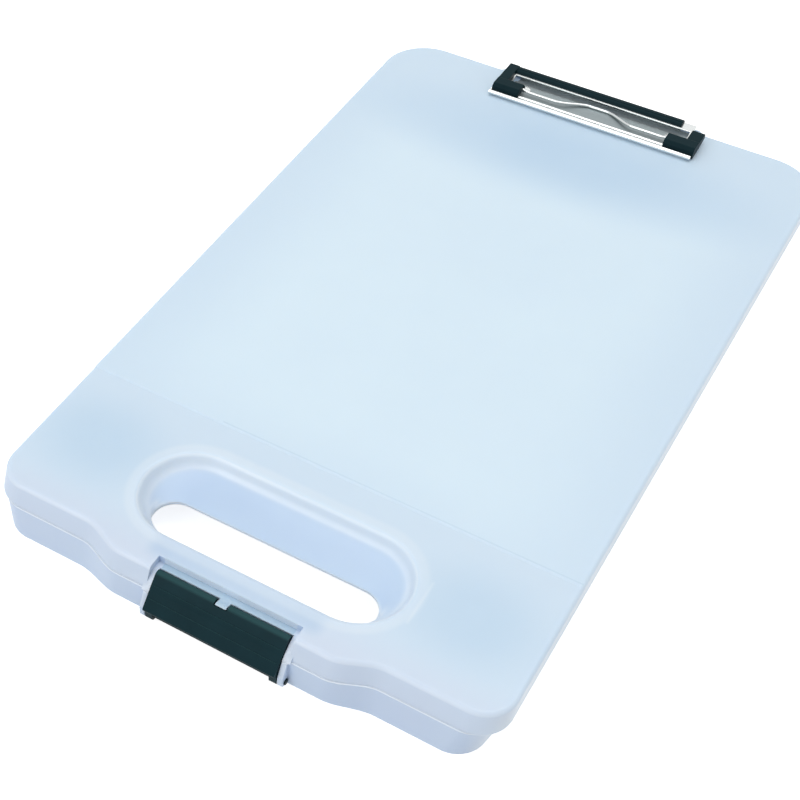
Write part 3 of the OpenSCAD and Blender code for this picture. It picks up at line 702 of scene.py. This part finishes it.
def addLatchBay(tray):
    s, f, crest = traySizes, boxSizes["front"], boxSizes["seam"] - traySizes["gap"]
    half, wallY = s["bayHalf"], f + s["bayY"]
    cut(tray, block("bay", (-half - 1, f - 30, -1), (half + 1, wallY, 30)))
    weld(tray, block("bayWall", (-half - 2, wallY, 0), (half + 2, wallY + 2, crest)))


def addCheek(tray, side):
    # the latch's pin turns in the two cheeks beside it
    s, f, crest = traySizes, boxSizes["front"], boxSizes["seam"] - traySizes["gap"]
    outline = [(-1.1, 0.6)] + arcPoints(latchPin["y"], latchPin["z"], latchPin["around"], -75, -180, 8)
    outline += [(-15.8, 7.0), (-15.5, 8.0), (-12.5, crest), (-1.1, crest)]
    x0, x1 = span(side, s["bayHalf"], s["bayHalf"] + s["cheek"])
    cheek = sectionBar("cheek", fromFront(outline), x0, x1)
    bevelEdges(cheek, lambda p, q: abs(p.x - q.x) < 0.001 and p.y < f - 2, s["cheekRound"])
    weld(tray, cheek)


def buildTray():
    tray = trayShellShape()
    addHandHole(tray)
    addLatchBay(tray)
    for side in (-1, 1):
        addCheek(tray, side)
        for inner, outer in hingeSizes["trayKnuckles"]:
            weld(tray, hingeKnuckle(*span(side, inner, outer), *hingeSizes["trayLeaf"]))
        cut(tray, hingeBore(*span(side, *hingeSizes["boreEnds"]), hingeSizes["trayBore"]))
    cut(tray, barAlongX("pinBore", -36, 36, boxSizes["front"] + latchPin["y"], latchPin["z"],
                        traySizes["pinBore"], 32))
    return tray


trayShell = buildTray()
finishPiece(trayShell, 32, "tray_body", boxPlastic, "box_plastic", "base_tray")
print("tray made:", len(trayShell.data.polygons), "faces")

latchSizes = {"half": 31.3, "rollY": -5.8, "rollZ": 20.0, "roll": 2.4, "lipY": -16.3, "lipZ": 9.4, "lip": 1.3,
              "knuckleWidth": 3.4, "bore": 1.5, "notchHalf": 3.2, "edgeRound": 0.3,
              "fineLines": ((-14.16, 14.0), (-10.4, 18.53)), "fineLine": 0.2}


def buildLatch():
    # the section goes from the roll at the top down the front to the finger lip, and back up inside
    s, half = latchSizes, latchSizes["half"]
    section = arcPoints(s["rollY"], s["rollZ"], s["roll"], -100, 143, 20)
    section += [(-9.6, 19.45), (-11.45, 17.3), (-11.8, 16.8), (-12.0, 16.55), (-13.0, 15.4), (-15.2, 12.75)]
    section += arcPoints(s["lipY"], s["lipZ"], s["lip"], 143, 310, 12) + [(-14.2, 9.8), (-6.4, 17.9)]
    latch = sectionBar("latchPlate", fromFront(section), -half, half)
    knuckle = arcPoints(latchPin["y"], latchPin["z"], latchPin["around"], -160, 15, 14)
    knuckle += [(-11.7, 11.4), (-15.9, 9.6)]
    for side in (-1, 1):
        weld(latch, sectionBar("knuckle", fromFront(knuckle), *span(side, half - s["knuckleWidth"], half)))
    notch = [(-12, 24.65), (0, 15.65), (0, 26), (-12, 26)]
    cut(latch, sectionBar("notch", fromFront(notch), -s["notchHalf"], s["notchHalf"]))
    pinY = boxSizes["front"] + latchPin["y"]
    cut(latch, barAlongX("bore", -40, 40, pinY, latchPin["z"], s["bore"], 32))
    bevelEdges(latch, lambda p, q: min(abs(p.x), abs(q.x)) > half - 0.01 and p.x * q.x > 0, s["edgeRound"])
    for y, z in fromFront(s["fineLines"]):
        cut(latch, barAlongX("fineLine", -half + 1, half - 1, y, z, s["fineLine"], 12))
    return latch


latchPlate = buildLatch()
finishPiece(latchPlate, 30, "latch_body", latchPlastic, "black_plastic", "latch")
print("latch made:", len(latchPlate.data.polygons), "faces")

clipPivot = {"y": 182.7, "z": 29.3, "ear": 1.2, "earWidth": 1.2}  # the spring wire is the clip's axle


def clipEar(x0, x1, webLow, webHigh):
    p = clipPivot
    ear = barAlongX("ear", x0, x1, p["y"], p["z"], p["ear"])
    weld(ear, block("web", (x0, p["y"] - 1.1, webLow), (x1, p["y"] + 1.1, webHigh)))
    return ear


def earBore(radius):
    return barAlongX("bore", -60, 60, clipPivot["y"], clipPivot["z"], radius, 24)


jawSizes = {"half": 57, "front": 172.7, "sheet": 0.8, "frameZ": 27.4, "lipZ": 25.3, "window": 49.6,
            "rearY": 193.4, "rearZ": 28.2, "rearBack": 199.6, "bead": 1.25, "innerBead": 0.75, "bore": 1.0}


def buildJaw():
    s, half = jawSizes, jawSizes["half"]
    y, z, lip, t = s["front"], s["frameZ"], s["lipZ"], s["sheet"]
    front = [(y + 2.0, lip), (y + 1.4, lip), (y + 0.95, lip + 0.35)]
    front += arcPoints(y + 1.3, z - 0.3, s["bead"], 232, -35, 20)
    jaw = sectionBar("jawPlate", front, -half, half)
    bead = arcPoints(y + 4.0, z + 0.05, s["innerBead"], 195, -20, 14)
    bead += [(y + 4.3, z - 0.7), (y + 3.35, z - 0.7)]
    weld(jaw, sectionBar("innerBead", bead, -half + 0.1, half - 0.1))
    ry, rz, back = s["rearY"], s["rearZ"], s["rearBack"]
    rear = [(ry - 0.3, rz + 0.1), (ry, rz), (back - 0.2, rz), (back, rz + 0.2), (back, rz + t - 0.2),
            (back - 0.2, rz + t), (ry, rz + t), (ry - 0.3, rz + t - 0.15)]
    weld(jaw, sectionBar("rearBar", rear, -s["window"] - 1.4, s["window"] + 1.4))
    sideBar = [(y + 1.6, z - 0.45), (ry - 4, z - 0.45), (ry - 1.2, rz), (ry + 0.8, rz), (ry + 0.8, rz + t),
               (ry - 1.4, rz + t), (ry - 4, z + 0.5), (y + 1.6, z + 0.5)]
    for side in (-1, 1):
        x0, x1 = span(side, s["window"], half)
        weld(jaw, sectionBar("sideBar", sideBar, x0 + 0.05, x1 - 0.05))
        x0, x1 = span(side, s["window"], s["window"] + clipPivot["earWidth"])
        weld(jaw, clipEar(x0, x1, z, clipPivot["z"] - 0.4))
    cut(jaw, earBore(s["bore"]))
    return jaw


baseSizes = {"half": 48.4, "front": 176.9, "back": 191.0, "thick": 1.0, "tailOut": 0.9, "bore": 0.93}


def buildBasePlate():
    # the tail drops steeply behind the plate and ends in an upturned lip
    s, half, z = baseSizes, baseSizes["half"], boxSizes["height"]
    y0, y, top = s["front"], s["back"], z + s["thick"]
    outline = [(y0, z), (y + 1.3, z), (y + 1.7, z + 0.3), (y - 0.2, top), (y0 + 0.3, top), (y0, top - 0.3)]
    plate = sectionBar("clipPlate", outline, -half, half)
    tail = [(y - 1, z + 0.1), (y + 1.5, z + 0.02), (y + 2.3, z - 1.6), (y + 8.9, z - 3.2), (y + 8.9, z - 2),
            (y + 8.6, z - 2), (y + 8.45, z - 2.75), (y + 2.5, z - 1.2), (y + 1.75, z + 0.33),
            (y - 0.3, top - 0.06), (y - 1, top - 0.04)]
    weld(plate, sectionBar("tail", tail, -half - s["tailOut"], half + s["tailOut"]))
    for side in (-1, 1):
        x0, x1 = span(side, half - clipPivot["earWidth"], half)
        weld(plate, clipEar(x0, x1, z + 0.3, clipPivot["z"]))
        cut(plate, rivetHole(side, z, 4))
    cut(plate, earBore(s["bore"]))
    return plate


wireSizes = {"radius": 0.78, "end": 54.6, "sag": 1.4, "sagFrom": 37, "sagTo": 45, "bend": 22, "bendBack": 7}


def buildWire():
    # straight through the ears, a little lower between them, and bent back in the middle,
    # where it rests on the base plate
    s = wireSizes
    drop = clipPivot["z"] - boxSizes["height"] - baseSizes["thick"] - s["radius"]
    straight = [25, 30, s["sagFrom"], 39, 41, 43, s["sagTo"], s["end"] - 0.3, s["end"]]
    xs = [-x for x in straight[::-1]] + [s["bend"] * k / 20 for k in range(-20, 21)] + straight
    middle = []
    for x in xs:
        share = fade(abs(x), s["bend"] * 0.2, s["bend"])
        sag = s["sag"] * fade(abs(x), s["sagFrom"], s["sagTo"])
        middle.append(Vector((x, clipPivot["y"] + s["bendBack"] * share,
                              clipPivot["z"] - sag - (drop - s["sag"]) * share)))
    turns = [math.radians(a * 22.5) for a in range(16)]
    rings = []
    for k, point in enumerate(middle):
        along = (middle[min(k + 1, len(xs) - 1)] - middle[max(k - 1, 0)]).normalized()
        across = along.cross(Vector((0, 0, 1))).normalized()
        upward = across.cross(along)
        radius = s["radius"] * (0.72 if k in (0, len(xs) - 1) else 1)
        rings.append([tuple(point + across * radius * math.cos(t) + upward * radius * math.sin(t))
                      for t in turns])
    return loftRings("springWire", rings)


capSizes = {"inner": 41.0, "arm": 50.8, "front": 175.3, "low": 27.6, "top": 31.55, "edgeRound": 0.3,
            "roomEnd": 56.0, "earRoom": 1.5, "webRoom": 1.85, "armBack": {"Left": 200.0, "Right": 193.2},
            "outer": {"Left": 56.2, "Right": 57.6}}


def buildCap(side, armBack, outer):
    s, j = capSizes, jawSizes
    low, top, y0, py, pz = s["low"], s["top"], s["front"], clipPivot["y"], clipPivot["z"]
    inner, barEnd = s["inner"], j["half"] + 0.02
    profile = [(y0, low), (py + 2.6, low), (py + 2.6, pz - 0.1), (py + 0.3, top), (y0 + 1.8, top),
               (y0, top - 1.55)]
    cap = sectionBar("cornerCap", profile, inner, outer)
    bevelEdges(cap, lambda p, q: min(p.z, q.z) > pz - 0.5, s["edgeRound"])
    arm = [(py, low + 0.6), (armBack, low + 1.3), (armBack, top - 1.3), (armBack - 0.8, top - 0.7),
           (py, top - 0.7)]
    armBar = sectionBar("arm", arm, s["arm"], outer)
    bevelEdges(armBar, lambda p, q: min(p.z, q.z) > pz and min(p.y, q.y) > py + 1, s["edgeRound"])
    weld(cap, armBar)
    if outer > j["half"]:
        # a cap that is wider than the jaw plate covers its end too
        skirt = [(y0, 25.7), (py, 25.7), (armBack, 28.0), (armBack, top - 1.3), (py, top - 0.7),
                 (y0, top - 1.8)]
        weld(cap, sectionBar("skirt", skirt, j["half"] + 0.05, outer))
    # room for the ears, the front bar, the inner bead and the rear bar
    cut(cap, barAlongX("earRoom", inner - 1, s["roomEnd"], py, pz, s["earRoom"], 32))
    cut(cap, block("webRoom", (inner - 1, py - s["webRoom"], low - 3),
                   (s["roomEnd"], py + s["webRoom"], pz - 0.02)))
    cut(cap, block("barRoom", (inner - 1, y0 + 0.45, low - 3), (barEnd, py + 8, j["frameZ"] + 0.55)))
    cut(cap, block("beadRoom", (inner - 1, y0 + 0.45, low - 1), (barEnd, y0 + 2.3, j["frameZ"] + 1.1)))
    cut(cap, block("rearRoom", (inner - 1, j["rearY"] - 1.6, low - 1),
                   (barEnd, armBack + 1, j["rearZ"] + j["sheet"] + 0.02)))
    if side < 0:
        for vertex in cap.data.vertices:
            vertex.co.x *= -1
        faceOutwards(cap)
    return cap


gripSizes = {"left": -50.7, "right": 44, "top": 30.7, "below": 1.6, "edgeRound": 0.35}


def buildGrip():
    s, j = gripSizes, jawSizes
    y0, y1 = j["rearY"] + 1.1, j["rearBack"] + 0.6
    top, rz = s["top"], j["rearZ"]
    low = rz - s["below"]
    section = [(y0 - 0.3, low + 0.5), (y0 + 0.2, low + 0.1), (y1 - 0.6, low), (y1, low + 0.8), (y1, rz + 1.1),
               (y1 - 0.5, rz + 1.5), (y1 - 1.1, top - 0.25), (y1 - 1.6, top), (y0 + 2.9, top)]
    section += arcPoints(y0 + 2.3, top - 0.15, 0.5, 20, 160, 8)
    section += [(y0 + 1.7, top - 0.15), (y0 + 0.9, top - 0.4), (y0 + 0.35, top - 0.8), (y0, top - 1.4)]
    grip = sectionBar("leverGrip", section, s["left"], s["right"])
    cut(grip, block("barSlot", (-60, y0 - 1, rz - 0.02), (60, j["rearBack"] + 0.05, rz + j["sheet"] + 0.02)))
    bevelEdges(grip, lambda p, q: min(p.x, q.x) > s["right"] - 0.01, s["edgeRound"])
    return grip


rivetSizes = {"shank": 1.6, "length": 4.0, "head": 2.8, "headHigh": 0.85, "headEdge": 0.15}


def buildRivet(x):
    s, z = rivetSizes, boxSizes["height"] + baseSizes["thick"]
    head, edge = s["head"], z + s["headEdge"]
    radii = [(s["shank"], z - s["length"]), (s["shank"], z + 0.02), (head - 0.1, z + 0.02), (head, edge)]
    for step in range(1, 8):
        a = math.radians(step * 11)
        radii.append((head * math.cos(a), edge + s["headHigh"] * math.sin(a)))
    turns = [math.radians(a * 10) for a in range(36)]
    return loftRings("rivet", [[(x + r * math.cos(t), rivetPlace["y"] + r * math.sin(t), h) for t in turns]
                               for r, h in radii])


jawPlate = buildJaw()
finishPiece(jawPlate, 35, "jaw_body", platedSteel, "plated_steel", "clip_jaw_plate")
clipPlate = buildBasePlate()
finishPiece(clipPlate, 35, "lid_body", baseSteel, "plated_steel", "clip_base_plate")
springWire = buildWire()
finishPiece(springWire, 50, "lid_body", wireSteel, "spring_steel", "spring_wire")
for side, label in ((-1, "Left"), (1, "Right")):
    cap = buildCap(side, capSizes["armBack"][label], capSizes["outer"][label])
    cap.name = "cornerCap" + label
    finishPiece(cap, 35, "jaw_body", blackPlastic, "black_plastic", "corner_cap_" + label.lower())
    rivet = buildRivet(side * rivetPlace["x"])
    rivet.name = "rivet" + label
    finishPiece(rivet, 40, "lid_body", platedSteel, "plated_steel", "rivet_" + label.lower())
leverGrip = buildGrip()
finishPiece(leverGrip, 30, "jaw_body", blackPlastic, "black_plastic", "lever_grip")
print("clip made")

for name in ("hinge_pin_left", "hinge_pin_right", "rivet_washer_left", "rivet_washer_right", "latch_pin"):
    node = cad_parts[name]
    node.data.materials.clear()
    node.data.materials.append(blackPlastic if name == "latch_pin" else platedSteel)
print("pins and washers coloured")

# lamp places and sizes are in metres, and powers in watts
stageLook = {"white": "#FFFFFF", "paper": (0.75, 0.75, 0.75, 1), "paperRoughness": 0.9, "paperGlow": 0.76,
             "ambient": 0.62, "lamps": (("overheadLamp", (0.1, 0.3, 1.9), (0, 0.05, 0), 1.3, 11),
                                       ("frontLamp", (-0.6, -1.4, 1.1), (0, 0, 0), 0.9, 8))}


def seenDirectly(material):
    # 1 for what the camera, a mirror or glass sees, and 0 for what lights the object
    path = addNode(material, "ShaderNodeLightPath")
    either = addNode(material, "ShaderNodeMath", {"operation": "MAXIMUM"},
                     {0: path.outputs["Is Camera Ray"], 1: path.outputs["Is Glossy Ray"]})
    every = addNode(material, "ShaderNodeMath", {"operation": "MAXIMUM"},
                    {0: either.outputs[0], 1: path.outputs["Is Transmission Ray"]})
    return every.outputs[0]


def buildFloor(look):
    # uncoated white paper: no gloss, and near white wherever it is seen
    selectNothing()
    bpy.ops.mesh.primitive_plane_add(size=8, location=(0, 0, 0))
    floor = bpy.context.object
    floor.name = "floorSheet"
    m = newMaterial("whitePaperFloor")
    paper = addNode(m, "ShaderNodeBsdfPrincipled", None,
                    {"Base Color": look["paper"], "Roughness": look["paperRoughness"],
                     "Specular IOR Level": 0.0})
    lift = addNode(m, "ShaderNodeMath", multiply, {0: seenDirectly(m), 1: look["paperGlow"]})
    glow = addNode(m, "ShaderNodeEmission", None, {"Color": look["white"], "Strength": lift.outputs[0]})
    both = addNode(m, "ShaderNodeAddShader", None, {0: paper.outputs[0], 1: glow.outputs[0]})
    addNode(m, "ShaderNodeOutputMaterial", None, {"Surface": both.outputs[0]})
    floor.data.materials.append(m)


def buildWorld(look):
    world = bpy.data.worlds.new("studioWorld")
    bpy.context.scene.world = world
    world.use_nodes = True
    background = world.node_tree.nodes["Background"]
    background.inputs["Color"].default_value = toLinear(look["white"])
    spread = addNode(world, "ShaderNodeMapRange", None,
                     {"Value": seenDirectly(world), "To Min": look["ambient"], "To Max": 1.0})
    world.node_tree.links.new(spread.outputs[0], background.inputs["Strength"])


def addLamp(name, place, target, size, power):
    data = bpy.data.lights.new(name, "AREA")
    data.shape, data.size, data.energy = "SQUARE", size, power
    lamp = bpy.data.objects.new(name, data)
    bpy.context.scene.collection.objects.link(lamp)
    lamp.location = place
    lamp.rotation_euler = (Vector(target) - Vector(place)).to_track_quat("-Z", "Y").to_euler()


buildFloor(stageLook)
buildWorld(stageLook)
for lamp in stageLook["lamps"]:
    addLamp(*lamp)
bpy.context.scene.view_settings.view_transform = "Standard"
print("stage lit")
